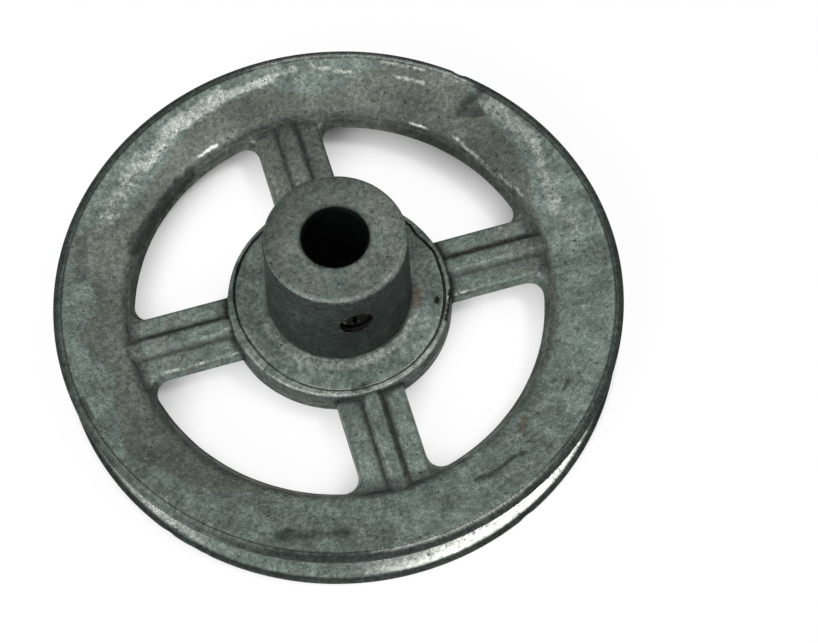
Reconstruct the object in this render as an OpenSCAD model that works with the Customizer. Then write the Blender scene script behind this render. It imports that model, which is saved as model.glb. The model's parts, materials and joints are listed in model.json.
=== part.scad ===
// Four-spoke V-belt pulley: one zinc casting, and the headless screw that clamps it to its shaft.
// The bore lies along Z. Z = 0 is the back face of the rim, and the long end of the hub points up.
// Two spokes lie along X and two along Y, and the screw sits over the spoke that points to -Y.

/* [Rim] */
// Outside diameter of the rim
outer_d = 120.65; // [110:0.05:160]
// Width of the rim from its back face to its front face
rim_w = 15.2; // [14.5:0.1:20]
// Width of the V-groove at the outside of the rim
groove_mouth = 12.4; // [9:0.1:13]
// Depth of the V-groove
groove_depth = 12.4; // [8:0.1:13]
// Included angle of the V-groove
groove_angle = 34; // [30:1:38]
// Metal between the bottom of the groove and the inside of the rim
rim_floor = 3.9; // [2.5:0.1:6]
// Width of the flat ring that each side face rests on
land_w = 0.6; // [0.4:0.1:1.5]
// Width of the rounded outer edge of each side face
lip_w = 1.6; // [0.5:0.1:2.5]
// Height of the rounded outer edge
lip_h = 1.2; // [0.4:0.1:1.2]
// Slope of each side face, falling from that ring towards the bore
face_angle = 13.8; // [8:0.1:15]
// Height of the mould's parting plane, where the inside of the rim is narrowest
parting_z = 8.7; // [8:0.1:9.5]
// Slope of the inside of the rim in front of the parting plane
front_draft = 23; // [5:1:30]
// Slope of the inside of the rim behind the parting plane
back_draft = 30; // [5:1:32]
// Radius of the rounded inner edges of the rim
nose_r = 3.5; // [1:0.1:4]

/* [Spokes] */
// Number of spokes
spoke_count = 4; // [3:1:6]
// Width of a spoke
spoke_w = 14.6; // [10:0.1:18]
// Thickness of the spokes in front of the parting plane
web_t = 2.4; // [2:0.1:3]
// Height of the rib along the middle of each spoke
rib_h = 0.9; // [0.5:0.1:1.2]
// Width of the rib at its foot
rib_foot_w = 4.9; // [4:0.1:7]
// Width of the rib at its top
rib_top_w = 2.5; // [2:0.1:4]
// Radius of the corners where the spokes meet the rim
corner_r = 4; // [1:0.1:5]

/* [Disc] */
// Diameter of the disc around the hub, at its front face
disc_d = 47.3; // [42:0.1:54]
// Diameter of the disc at its back face
disc_back_d = 48.3; // [42:0.1:55]
// Height of the back face of the disc
disc_back_z = 6.1; // [3:0.1:8]
// How far the front of the disc lies behind the front face of the rim
disc_drop = 2.8; // [0:0.1:3.5]
// Radius of the rounded front edge of the disc
disc_edge_r = 0.5; // [0.2:0.1:1]
// Diameter of the fine ring that the mould's hub insert left on the disc
seam_d = 44.4; // [40:0.1:46]
// Width and depth of that ring
seam_w = 0.4; // [0.2:0.1:0.8]

/* [Hub] */
// Diameter of the hub at its end
hub_d = 29; // [26:0.1:34]
// Diameter of the hub where it meets the disc
hub_foot_d = 31; // [28:0.1:36]
// Length of the hub in front of the rim
hub_front = 22.5; // [15:0.5:35]
// How far the back end of the hub lies inside the back face of the rim
hub_inset = 0.5; // [0.1:0.1:2]
// Radius of the rounded edges of the hub
hub_edge_r = 1; // [0.3:0.1:1.5]
// Diameter of the bore for the shaft
bore_d = 12.7; // [10:0.1:16]
// Width of the chamfer at each end of the bore
bore_chamfer = 0.6; // [0.2:0.1:1]

/* [Set screw] */
// Thread diameter of the set screw
screw_d = 6.3; // [4:0.1:8]
// Length of the set screw
screw_l = 6.35; // [4:0.05:8]
// Gap all round between the screw and its hole
screw_clearance = 0.05; // [0.02:0.01:0.08]
// Distance of the screw's axis below the end of the hub
screw_from_end = 10.2; // [6:0.1:14]
// Distance of the screw's point from the wall of the bore
point_gap = 1; // [0.2:0.1:2]
// Width of the screwdriver slot
slot_w = 1.15; // [0.8:0.05:1.6]
// Depth of the screwdriver slot
slot_depth = 1.7; // [1:0.1:2]
// Width of the chamfer around each end of the screw
screw_chamfer = 0.5; // [0.2:0.1:0.8]
// Diameter of the cup in the screw's point
cup_d = 3.2; // [2:0.1:3.6]

/* [Hidden] */
$fn = 96;
arc_steps = 6;   // straight steps that make up a quarter-round edge
overlap = 0.5;   // how deep one feature of the casting reaches into the next
cut = 1;         // how far a cutting tool runs past the face that it cuts
outer_r = outer_d / 2;
mid_z = rim_w / 2;
groove_r = outer_r - groove_depth;
groove_floor_w = groove_mouth - 2 * groove_depth * tan(groove_angle / 2);
inner_r = groove_r - rim_floor;
land_in_r = outer_r - lip_w - land_w;
lip = min(lip_h, 0.45 * (rim_w - groove_mouth));   // leaves a narrow wall above the groove
web_top_z = parting_z + web_t;
disc_top_z = rim_w - disc_drop;
hub_end_z = rim_w + hub_front;
hub_r = hub_d / 2;
bore_r = bore_d / 2;
screw_z = hub_end_z - screw_from_end;
screw_r = screw_d / 2;
spoke_in_r = hub_r;
spoke_out_r = inner_r + rim_floor / 2 + overlap;

// Points of an arc around [x, y] from angle a to angle b, rx wide and ry high, or round where ry is left out
function arc(x, y, rx, a, b, ry = 0) =
    [for (i = [0 : arc_steps]) let (t = a + (b - a) * i / arc_steps) [x + rx * cos(t), y + (ry > 0 ? ry : rx) * sin(t)]];

// Points that round the corner b of the line a-b-c with radius r
function rounded(a, b, c, r) =
    let (
        back = (a - b) / norm(a - b),
        ahead = (c - b) / norm(c - b),
        half = acos(back * ahead) / 2,
        centre = b + (back + ahead) / norm(back + ahead) * r / sin(half),
        first = b + back * r / tan(half) - centre,
        last = b + ahead * r / tan(half) - centre,
        turn = 180 - 2 * half
    )
    [for (i = [0 : arc_steps]) let (t = turn * i / arc_steps)
        centre + (first * sin(turn - t) + last * sin(t)) / sin(turn)];

// Half of the rim's section, from the groove over one side face to the parting plane, as [radius, height above it].
// up is the height of the side face and groove_up that of the groove's middle, both above the parting plane.
function rim_half(up, groove_up, draft) =
    let (
        land = [land_in_r, up],
        throat = [inner_r, 0],
        rise = (up - tan(face_angle) * (land_in_r - inner_r)) / (1 - tan(face_angle) * tan(draft)),
        corner = [inner_r + rise * tan(draft), rise]
    )
    concat(
        [[groove_r, groove_up + groove_floor_w / 2], [outer_r, groove_up + groove_mouth / 2]],
        arc(outer_r - lip_w, up - lip, lip_w, 0, 90, lip),
        [land],
        rounded(land, corner, throat, nose_r),
        [throat]
    );

// The same points on the other side of the parting plane, in the opposite order
function mirrored(points) = [for (i = [len(points) - 1 : -1 : 0]) [points[i][0], -points[i][1]]];

module rim() {
    front = rim_half(rim_w - parting_z, mid_z - parting_z, front_draft);
    back = rim_half(parting_z, parting_z - mid_z, back_draft);
    translate([0, 0, parting_z])
        rotate_extrude($fn = 180)
            polygon(concat(front, mirrored([for (i = [0 : len(back) - 2]) back[i]])));
}

// Section of the hub and its disc, as [radius, height], from the back end to the front end
module hub_and_disc() {
    rotate_extrude($fn = 180)
        polygon(concat(
            [[0, hub_inset]],
            arc(hub_r - hub_edge_r, hub_inset + hub_edge_r, hub_edge_r, -90, 0),
            [[hub_foot_d / 2, disc_back_z], [disc_back_d / 2, disc_back_z]],
            arc(disc_d / 2 - disc_edge_r, disc_top_z - disc_edge_r, disc_edge_r, 0, 90),
            [[hub_foot_d / 2, disc_top_z]],
            arc(hub_r - hub_edge_r, hub_end_z - hub_edge_r, hub_edge_r, 0, 90),
            [[0, hub_end_z]]
        ));
}

// Fine ring left on the disc by the hub insert
module seam_cut() {
    translate([0, 0, disc_top_z - seam_w])
        difference() {
            cylinder(h = seam_w + cut, d = seam_d + seam_w, $fn = 180);
            cylinder(h = seam_w + cut, d = seam_d - seam_w, $fn = 180);
        }
}

// Metal that rounds the corner between one side of a spoke and the rim
module corner_2d() {
    side = spoke_w / 2;
    wall_r = inner_r + web_t / 2 * tan(front_draft);
    centre = [sqrt(pow(wall_r - corner_r, 2) - pow(side + corner_r, 2)), side + corner_r];
    reach = spoke_out_r;
    difference() {
        polygon([
            [centre[0], side - overlap],
            [reach, side - overlap],
            reach * centre / norm(centre),
            centre
        ]);
        translate(centre) circle(r = corner_r);
    }
}

module spoke_2d() {
    translate([spoke_in_r, -spoke_w / 2]) square([spoke_out_r - spoke_in_r, spoke_w]);
    corner_2d();
    mirror([0, 1]) corner_2d();
}

module rib() {
    translate([spoke_in_r, 0, web_top_z - overlap])
        rotate([90, 0, 90])
            linear_extrude(height = spoke_out_r - spoke_in_r)
                polygon([
                    [-rib_foot_w / 2, 0],
                    [rib_foot_w / 2, 0],
                    [rib_foot_w / 2, overlap],
                    [rib_top_w / 2, overlap + rib_h],
                    [-rib_top_w / 2, overlap + rib_h],
                    [-rib_foot_w / 2, overlap]
                ]);
}

module spokes() {
    for (i = [0 : spoke_count - 1])
        rotate(360 / spoke_count * i - 90) {
            translate([0, 0, parting_z]) linear_extrude(height = web_t) spoke_2d();
            rib();
        }
}

module bore_cut() {
    chamfer_r = bore_r + bore_chamfer;
    translate([0, 0, hub_inset - cut]) cylinder(h = hub_end_z - hub_inset + 2 * cut, r = bore_r);
    translate([0, 0, hub_end_z - bore_chamfer])
        cylinder(h = bore_chamfer + cut, r1 = bore_r, r2 = chamfer_r + cut);
    translate([0, 0, hub_inset - cut])
        cylinder(h = bore_chamfer + cut, r1 = chamfer_r + cut, r2 = bore_r);
}

// Places something that points along +Z on the screw's axis, pointing out of the hub, from the bore's axis
module on_screw_axis() {
    translate([0, 0, screw_z]) rotate([90, 0, 0]) children();
}

module screw_hole_cut() {
    on_screw_axis() cylinder(h = hub_foot_d / 2 + cut, r = screw_r + screw_clearance);
}

module pulley_casting() {
    color([0.50, 0.53, 0.50])
        difference() {
            union() {
                rim();
                spokes();
                hub_and_disc();
            }
            bore_cut();
            seam_cut();
            screw_hole_cut();
        }
}

module set_screw() {
    point = bore_r + point_gap;
    body_l = screw_l - 2 * screw_chamfer;
    end_r = screw_r - screw_chamfer;
    color([0.30, 0.29, 0.28])
        on_screw_axis() translate([0, 0, point])
            difference() {
                union() {
                    cylinder(h = screw_chamfer, r1 = end_r, r2 = screw_r);
                    translate([0, 0, screw_chamfer]) cylinder(h = body_l, r = screw_r);
                    translate([0, 0, screw_l - screw_chamfer]) cylinder(h = screw_chamfer, r1 = screw_r, r2 = end_r);
                }
                translate([0, 0, -cut]) cylinder(h = cup_d / 2 + cut, r1 = cup_d / 2 + cut, r2 = 0);
                translate([-slot_w / 2, -screw_d, screw_l - slot_depth])
                    cube([slot_w, 2 * screw_d, slot_depth + cut]);
            }
}

pulley_casting();
set_screw();
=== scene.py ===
"""Looks of a four-spoke V-belt pulley and its set screw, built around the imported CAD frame.

Sizes are in millimetres, as in the CAD source, until make_piece() turns them into metres.
The bore lies along Z, Z = 0 is the back face of the rim, and the long end of the hub points up.
"""

import functools
import json
import math

import bmesh
import bpy
import numpy as np
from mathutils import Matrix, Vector, noise
from mathutils.geometry import delaunay_2d_cdt


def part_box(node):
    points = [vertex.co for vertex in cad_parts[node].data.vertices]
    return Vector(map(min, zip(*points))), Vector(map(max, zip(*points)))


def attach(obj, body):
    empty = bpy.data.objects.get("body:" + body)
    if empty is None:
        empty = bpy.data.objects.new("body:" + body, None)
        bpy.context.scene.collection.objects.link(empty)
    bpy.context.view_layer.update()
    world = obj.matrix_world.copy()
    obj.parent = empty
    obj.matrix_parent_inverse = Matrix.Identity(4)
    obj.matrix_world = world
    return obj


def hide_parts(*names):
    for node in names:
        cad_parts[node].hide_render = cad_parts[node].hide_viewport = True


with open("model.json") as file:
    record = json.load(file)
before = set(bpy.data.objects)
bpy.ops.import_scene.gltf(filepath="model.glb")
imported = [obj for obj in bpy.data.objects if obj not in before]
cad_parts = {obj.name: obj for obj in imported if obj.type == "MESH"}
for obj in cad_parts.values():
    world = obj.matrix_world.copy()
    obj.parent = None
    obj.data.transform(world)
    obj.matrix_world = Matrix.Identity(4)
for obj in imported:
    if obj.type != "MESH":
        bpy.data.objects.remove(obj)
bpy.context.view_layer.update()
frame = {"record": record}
MM = 0.001

# ---------- sizes

casting_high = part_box("pulley_casting")[1] / MM
screw_low, screw_high = (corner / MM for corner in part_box("set_screw"))
shaft_bore = next(mount for mount in frame["record"]["mounts"] if mount["name"] == "shaft_bore")

# Rim
OUTER_R = casting_high.x
RIM_W = 15.2
MID = RIM_W / 2
GROOVE_MOUTH = 12.4
GROOVE_FLOOR = 4.8
GROOVE_DEPTH = 12.4
GROOVE_R = OUTER_R - GROOVE_DEPTH
RIM_FLOOR = 3.9
INNER_R = GROOVE_R - RIM_FLOOR
LAND_W = 0.6
LIP_W = 1.6
LIP_H = 1.2
FACE_SLOPE = math.tan(math.radians(13.8))
FRONT_DRAFT = math.tan(math.radians(23))
BACK_DRAFT = math.tan(math.radians(30))
NOSE_R = 3.5

# Where the two halves of the mould met, and how high a flash they left
PARTING_Z = 8.7
PARTING_H = 0.13

# Spokes
SPOKES = 4
SPOKE_W = 14.6
WEB_T = 2.4
WEB_TOP = PARTING_Z + WEB_T
RIB_H = 0.9
RIB_TOP = WEB_TOP + RIB_H
RIB_FOOT_W = 4.9
RIB_TOP_W = 2.5
EDGE_R = 1.1
CORNER_R = 4
FILLET = 0.35

# Disc and hub
DISC_R = 23.95
DISC_BACK_R = 24.2
DISC_BACK_Z = 6.1
DISC_DROP = 2.8
DISC_TOP = RIM_W - DISC_DROP
SEAM_R = 22.2
SEAM_W = 0.6
SEAM_DEPTH = 0.35
HUB_R = 14.7
HUB_FOOT_R = 15.5
HUB_BACK = 0.5
HUB_END = casting_high.z
BORE_R = shaft_bore["dims"]["r_mm"]
BORE_CHAMFER = 0.6

# Set screw
SCREW_Z = (screw_low.z + screw_high.z) / 2
SCREW_R = screw_high.z - SCREW_Z
SCREW_POINT = -screw_high.y
SCREW_END = -screw_low.y
THREAD_PITCH = 1.27
THREAD_DEPTH = 0.6
SLOT_W = 1.15
SLOT_DEPTH = 1.7
CUP_R = 1.6
END_CHAMFER = 0.5

# Its hole, which widens from HOLE_MOUTH outwards
HOLE_R = SCREW_R + 0.05
HOLE_THREAD_DEPTH = 0.3
HOLE_MOUTH = 14.3
HOLE_FLARE = 0.5

# How fine the meshes are
RIM_COLUMNS = 440
HUB_COLUMNS = 240
ROD_ANGLES = np.linspace(0, 2 * math.pi, 64, endpoint=False)
SPOKE_STATIONS = 20
DISC_FILLET_STEPS = 4
CORNER_STEPS = 8
SURFACE_STEP = 1.0
HUB_STEP = 1.25
SPOKE_STEP = 0.8
CUTTER_STEP = 5
THREAD_STEP = THREAD_PITCH / 8
ARC_STEP = math.radians(15)
SHORTEST_ARC_STEP = 0.16
AXIS_GAP = 0.1

# How far the patches around the spokes' ends reach, and how near to those ends their inner points come
RIM_PATCH = 1.0
DISC_PATCH = 0.8
PATCH_GAP = 0.35
MERGE_GAP = 0.002

SEED = 7


# ---------- outlines


def unit(vector):
    return vector / np.linalg.norm(vector)


def rounded(corners, step=SURFACE_STEP):
    """A closed outline through corners (x, y, radius), each of them rounded, its sides cut into steps."""
    count = len(corners)
    arcs = []
    for i, (x, y, radius) in enumerate(corners):
        corner = np.array([x, y], float)
        back = unit(np.array(corners[i - 1][:2]) - corner)
        ahead = unit(np.array(corners[(i + 1) % count][:2]) - corner)
        turn = math.pi - math.acos(np.clip(back @ ahead, -1, 1))
        if radius == 0 or turn < 0.01:
            arcs.append([corner])
            continue
        centre = corner + unit(back + ahead) * radius / math.cos(turn / 2)
        reach = radius * math.tan(turn / 2)
        first, last = corner + back * reach - centre, corner + ahead * reach - centre
        pieces = max(2, math.ceil(min(turn / ARC_STEP, radius * turn / SHORTEST_ARC_STEP)))
        share = np.linspace(0, 1, pieces + 1)[:, None] * turn
        arcs.append(list(centre + (first * np.sin(turn - share) + last * np.sin(share)) / math.sin(turn)))
    points = []
    for i, arc in enumerate(arcs):
        points += arc
        start, end = arc[-1], arcs[(i + 1) % count][0]
        pieces = max(1, round(np.linalg.norm(end - start) / step))
        points += [start + (end - start) * k / pieces for k in range(1, pieces)]
    return np.array(points)


def parting_flash(x, outward, below=0.0, above=0.0):
    """Corners of the flash on the parting plane of a wall at x. It stands out by PARTING_H towards outward.

    below and above are how much x grows for each millimetre away from the parting plane.
    """
    foot, top = 0.35, 0.1
    return [
        (x + below * foot, PARTING_Z - foot, 0.0),
        (x + outward * PARTING_H, PARTING_Z - top, 0.0),
        (x + outward * PARTING_H, PARTING_Z + top, 0.0),
        (x + above * foot, PARTING_Z + foot, 0.0),
    ]


def lip(sign):
    """Corners of the rim's front lip, or the back one where sign is -1, from the flat ring to the groove."""
    side = MID + sign * MID
    return [
        (OUTER_R - LIP_W - LAND_W, side, 0.5),
        (OUTER_R - LIP_W, side, 0.3),
        (OUTER_R - 0.2 * LIP_W, side - sign * 0.06 * LIP_H, 0.25),
        (OUTER_R, side - sign * 0.3 * LIP_H, 0.2),
        (OUTER_R, MID + sign * GROOVE_MOUTH / 2, 0.1),
        (OUTER_R - 0.5, MID + sign * (GROOVE_MOUTH / 2 - 0.15), 0.3),
    ]


def rim_half(sign, draft):
    """Corners from the rim's inner wall over one face, sign being 1 at the front, to the groove's floor."""
    rise = MID + sign * (MID - PARTING_Z)
    rise = (rise - FACE_SLOPE * (OUTER_R - LIP_W - LAND_W - INNER_R)) / (1 - FACE_SLOPE * draft)
    nose = (INNER_R + rise * draft, PARTING_Z + sign * rise, NOSE_R)
    return [nose] + lip(sign) + [(GROOVE_R, MID + sign * GROOVE_FLOOR / 2, 0.8)]


def rim_outline():
    """The rim's section, from the groove's floor round the back, up the inner wall and over the front."""
    flash = parting_flash(INNER_R, -1, BACK_DRAFT, FRONT_DRAFT)
    return rounded(rim_half(-1, BACK_DRAFT)[::-1] + flash + rim_half(1, FRONT_DRAFT))


def hub_outline():
    """The section of hub and disc, from the bore round the back, up the disc's side and over the hub."""
    disc_side = DISC_BACK_R + (DISC_R - DISC_BACK_R) * (PARTING_Z - DISC_BACK_Z) / (DISC_TOP - DISC_BACK_Z)
    return rounded(
        [
            (BORE_R + BORE_CHAMFER, HUB_BACK, 0.1),
            (HUB_R, HUB_BACK, 1.0),
            (HUB_FOOT_R, DISC_BACK_Z, 0.7),
            (DISC_BACK_R, DISC_BACK_Z, 0.3),
        ]
        + parting_flash(disc_side, 1)
        + [
            (DISC_R, DISC_TOP, 0.6),
            (SEAM_R + SEAM_W / 2, DISC_TOP, 0.1),
            (SEAM_R, DISC_TOP - SEAM_DEPTH, 0.08),
            (SEAM_R - SEAM_W / 2, DISC_TOP, 0.1),
            (HUB_FOOT_R, DISC_TOP, 0.7),
            (HUB_R, HUB_END, 1.2),
            (BORE_R + BORE_CHAMFER, HUB_END, 0.1),
            (BORE_R, HUB_END - BORE_CHAMFER, 0.0),
            (BORE_R, HUB_BACK + BORE_CHAMFER, 0.0),
        ],
        HUB_STEP,
    )


def spoke_section():
    """Outline of a spoke across its length, as (sideways, height), anticlockwise, and its outward normals."""
    side = SPOKE_W / 2
    flash_top = PARTING_Z + 0.2
    right = [
        (side, PARTING_Z, 0.0),
        (side, flash_top, 0.0),
        (side, flash_top + 0.25, 0.0),
        (side - 0.2, WEB_TOP, EDGE_R),
        (RIB_FOOT_W / 2, WEB_TOP, 0.4),
        (RIB_TOP_W / 2, RIB_TOP, 1.3),
    ]
    left = [(-x, z, radius) for x, z, radius in reversed(right)]
    section = rounded(right + left, SPOKE_STEP)
    normal = outline_normals(section)
    flash = np.isclose(np.abs(section[:, 0]), side) & (section[:, 1] <= flash_top)
    normal[flash] = np.sign(section[flash, :1]) * (1, 0)
    section[flash] += normal[flash] * PARTING_H
    return section, normal


# ---------- turned surfaces with windows for the spokes


class Shell:
    """Points and faces that grow patch by patch. Patches join where their points meet."""

    def __init__(self):
        self.points, self.faces, self.count = [], [], 0

    def add(self, points, faces):
        self.points.append(np.asarray(points, float))
        self.faces += (np.asarray(faces) + self.count).tolist()
        self.count += len(points)

    def add_turned(self, points, faces):
        """The same patch at every spoke."""
        for spoke in range(SPOKES):
            angle = 2 * math.pi * spoke / SPOKES
            c, s = math.cos(angle), math.sin(angle)
            self.add(points @ np.array([[c, s, 0], [-s, c, 0], [0, 0, 1]]), faces)


def grid_faces(rows, columns, keep=None):
    """Quads of a grid that closes on itself both ways, without those that keep leaves out."""
    i, j = np.meshgrid(np.arange(rows), np.arange(columns), indexing="ij")
    if keep is not None:
        i, j = i[keep], j[keep]
    i, j = i.ravel(), j.ravel()
    ahead, beside = (i + 1) % rows, (j + 1) % columns
    return np.stack([i * columns + j, i * columns + beside, ahead * columns + beside, ahead * columns + j], 1)


class Turned:
    """An outline turned round the bore. A place on it is (angle, length along the outline)."""

    def __init__(self, outline, columns, wall_point):
        """wall_point is where on the outline the length is zero, on the wall that the spokes meet."""
        self.outline, self.columns = outline, columns
        middle = np.linalg.norm(outline - wall_point, axis=1).argmin()
        along = np.concatenate([[0], np.cumsum(np.linalg.norm(np.diff(outline, axis=0), axis=1))])
        self.along = along - along[middle]
        self.wall_r = outline[middle, 0]
        climbs = np.diff(outline[:, 1]) > 1e-6
        above, below = np.flatnonzero(~climbs[middle:]), np.flatnonzero(~climbs[:middle])
        self.wall = slice(below[-1] + 1, middle + above[0] + 1)

    def at(self, angle, along):
        radius = np.interp(along, self.along, self.outline[:, 0])
        height = np.interp(along, self.along, self.outline[:, 1])
        return np.stack([radius * np.cos(angle), radius * np.sin(angle), height], -1)

    def wall_radius(self, height):
        return np.interp(height, self.outline[self.wall, 1], self.outline[self.wall, 0])

    def wall_along(self, height):
        return np.interp(height, self.outline[self.wall, 1], self.along[self.wall])

    def add_to(self, shell, loop, margin):
        """Adds the surface with a window per spoke. loop is the window's edge, as (angle, along)."""
        step = 2 * math.pi / self.columns
        rows = len(self.outline)
        half = math.ceil((np.abs(loop[:, 0]).max() + margin / self.wall_r) / step)
        low = np.searchsorted(self.along, loop[:, 1].min() - margin) - 1
        high = np.searchsorted(self.along, loop[:, 1].max() + margin)
        angle, along = np.meshgrid(np.arange(self.columns) * step, self.along)
        beside = (np.arange(self.columns) + half) % (self.columns // SPOKES) < 2 * half
        keep = np.ones((rows, self.columns), bool)
        keep[low:high, beside] = False
        shell.add(self.at(angle, along).reshape(-1, 3), grid_faces(rows, self.columns, keep))
        shell.add_turned(*self.patch(loop, step, half, low, high))

    def patch(self, loop, step, half, low, high):
        """Points and triangles that join the window's edge to the grid around it."""
        scale = np.array([self.wall_r, 1])
        angle, along = np.meshgrid(np.arange(-half, half + 1) * step, self.along[low : high + 1])
        inner = np.zeros(angle.shape, bool)
        inner[1:-1, 1:-1] = True
        points = np.stack([angle.ravel(), along.ravel()], 1)
        clear = distance_to_loop(points * scale, loop * scale) > PATCH_GAP
        use = (clear & ~inside(points, loop)) | ~inner.ravel()
        points = np.concatenate([loop, points[use]])
        edges = [(i, (i + 1) % len(loop)) for i in range(len(loop))]
        flat = [Vector(p) for p in points * scale]
        made, _, faces, *_ = delaunay_2d_cdt(flat, edges, [], 0, 1e-7)
        made = np.array([tuple(p) for p in made]) / scale
        faces = np.array([f for f in faces if len(f) == 3])
        faces = faces[~inside(made[faces].mean(1), loop)]
        return self.at(made[:, 0], made[:, 1]), faces


def inside(points, loop):
    """Which points lie inside a closed loop."""
    x, y = points[:, 0, None], points[:, 1, None]
    x1, y1 = loop.T
    x2, y2 = np.roll(loop, -1, 0).T
    crosses = (y1 > y) != (y2 > y)
    with np.errstate(divide="ignore", invalid="ignore"):
        left = x < (x2 - x1) * (y - y1) / (y2 - y1) + x1
    return (crosses & left).sum(1) % 2 == 1


def distance_to_loop(points, loop):
    """How far each point is from a closed loop."""
    start, side = loop, np.roll(loop, -1, 0) - loop
    offset = points[:, None] - start
    share = np.clip((offset * side).sum(-1) / (side**2).sum(-1), 0, 1)
    return np.linalg.norm(offset - share[..., None] * side, axis=-1).min(1)


# ---------- the casting


def outline_normals(outline):
    """Outward normals of an anticlockwise outline at its points."""
    side = np.roll(outline, -1, 0) - outline
    normal = np.stack([side[:, 1], -side[:, 0]], 1)
    normal /= np.linalg.norm(normal, axis=1)[:, None]
    both = normal + np.roll(normal, 1, 0)
    return both / np.linalg.norm(both, axis=1)[:, None]


def spoke_end(turned, section, normal, side_reach, away):
    """The ends of the lines along a spoke: where each leaves the spoke, would meet the wall, and lands on it.

    The fourth value is the landing once more, as (angle, along) on the turned surface.
    """
    v, z = section.T
    sideways = np.where(np.abs(v) > RIB_FOOT_W, side_reach, FILLET)
    reach = FILLET + (sideways - FILLET) * normal[:, 0] ** 2
    radius = turned.wall_radius(z)
    u = np.sqrt(radius**2 - v**2)
    leave = np.stack([u + away * reach, v, z], 1)
    meet = np.stack([u, v, z], 1)
    angle = np.arcsin(v / radius) + sideways * normal[:, 0] / radius
    place = np.stack([angle, turned.wall_along(z) + FILLET * normal[:, 1]], 1)
    return leave, meet, turned.at(*place.T), place


def curve(leave, meet, land, steps):
    """Points along the fillet, a round arc from where it leaves the spoke to where it lands on the wall."""
    t = np.linspace(0, 1, steps + 1)[1:, None, None]
    first, middle, last = (1 - t) ** 2, 2 * t * (1 - t) * math.sqrt(0.5), t**2
    return (first * leave + middle * meet + last * land) / (first + middle + last)


def casting_shell():
    """The rim, hub and disc, and the spokes between them."""
    section, normal = spoke_section()
    rim = Turned(rim_outline(), RIM_COLUMNS, (INNER_R, PARTING_Z))
    hub = Turned(hub_outline(), HUB_COLUMNS, (DISC_BACK_R, PARTING_Z))
    at_rim = spoke_end(rim, section, normal, CORNER_R, -1)
    at_disc = spoke_end(hub, section, normal, FILLET, 1)

    shell = Shell()
    rim.add_to(shell, at_rim[3], RIM_PATCH)
    hub.add_to(shell, at_disc[3], DISC_PATCH)
    share = np.linspace(0, 1, SPOKE_STATIONS)[:, None, None]
    straight = at_disc[0] * (1 - share) + at_rim[0] * share
    disc_end = curve(*at_disc[:3], DISC_FILLET_STEPS)[::-1]
    rings = np.concatenate([disc_end, straight, curve(*at_rim[:3], CORNER_STEPS)])
    rows, columns = rings.shape[:2]
    keep = np.ones((rows, columns), bool)
    keep[-1] = False
    shell.add_turned(rings.reshape(-1, 3), grid_faces(rows, columns, keep))
    return shell


# ---------- Blender objects


def add_to_scene(name, data):
    made = bpy.data.objects.new(name, data)
    bpy.context.scene.collection.objects.link(made)
    return made


def make_piece(name, points, faces, merge=0.0):
    """An object from points in millimetres, those closer than merge joined, its faces turned outwards."""
    mesh = bpy.data.meshes.new(name)
    mesh.from_pydata((np.asarray(points) * MM).tolist(), [], faces)
    form = bmesh.new()
    form.from_mesh(mesh)
    if merge:
        bmesh.ops.remove_doubles(form, verts=form.verts, dist=merge * MM)
    bmesh.ops.recalc_face_normals(form, faces=form.faces)
    form.to_mesh(mesh)
    form.free()
    return add_to_scene(name, mesh)


def get_points(mesh):
    points = np.empty(len(mesh.vertices) * 3)
    mesh.vertices.foreach_get("co", points)
    return points.reshape(-1, 3) / MM


def set_points(mesh, points):
    mesh.vertices.foreach_set("co", (points * MM).ravel())
    mesh.update()


def point_normals(mesh):
    return np.array([tuple(normal.vector) for normal in mesh.vertex_normals])


def cut_away(piece, cutter):
    """Takes the cutter's shape out of the piece and deletes the cutter."""
    cut = piece.modifiers.new("cut", "BOOLEAN")
    cut.operation, cut.solver, cut.object = "DIFFERENCE", "MANIFOLD", cutter
    made = bpy.data.meshes.new_from_object(piece.evaluated_get(bpy.context.evaluated_depsgraph_get()))
    made.materials.clear()
    piece.modifiers.remove(cut)
    piece.data = made
    bpy.data.objects.remove(cutter)


def rings_at(angle, along, radius):
    """Points around the set screw's axis, along being how far out they lie from the bore's axis."""
    return np.stack([radius * np.cos(angle), -along, SCREW_Z + radius * np.sin(angle)], -1)


def ring(radius, along):
    return rings_at(ROD_ANGLES, np.full_like(ROD_ANGLES, along), radius)


def threaded(radius_at, low, high):
    """Rings of points from low to high along the screw's axis, with radius_at(angle, along) as radius."""
    along = np.linspace(low, high, math.ceil((high - low) / THREAD_STEP))
    angle, along = np.meshgrid(ROD_ANGLES, along)
    return rings_at(angle, along, radius_at(angle, along))


def thread_depth(angle, along):
    """From 0 on the flat crest of the screw's thread to 1 at its sharp root."""
    turn = (along / THREAD_PITCH - angle / (2 * math.pi)) % 1
    return np.clip(2.4 * np.abs(turn - 0.5) - 0.2, 0, 1)


def rod(rings):
    """Points and faces of a closed rod through rings of points."""
    rows, columns = len(rings), len(rings[0])
    faces = grid_faces(rows, columns)[: (rows - 1) * columns].tolist()
    faces += [list(range(columns)), list(range((rows - 1) * columns, rows * columns))]
    return np.concatenate(rings), faces


def screw_hole():
    """The shape that cuts the tapped hole, from the bore's axis to outside the hub."""

    def radius_at(angle, along):
        flare = np.maximum(0, along - HOLE_MOUTH) * HOLE_FLARE
        return HOLE_R + np.maximum(HOLE_THREAD_DEPTH * thread_depth(angle, along), flare)

    return make_piece("hole_cutter", *rod(threaded(radius_at, 0, HUB_FOOT_R + 1)))


# ---------- the casting's uneven surface


def polar(points):
    """Radius, and angle in degrees from 0 to 360."""
    x, y = points[:, 0], points[:, 1]
    return np.hypot(x, y), np.degrees(np.arctan2(y, x)) % 360


def around(angle, stops):
    """A value all round the bore, from listed (angle, value) stops."""
    places, values = zip(*stops)
    return np.interp(angle, places, values, period=360)


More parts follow.
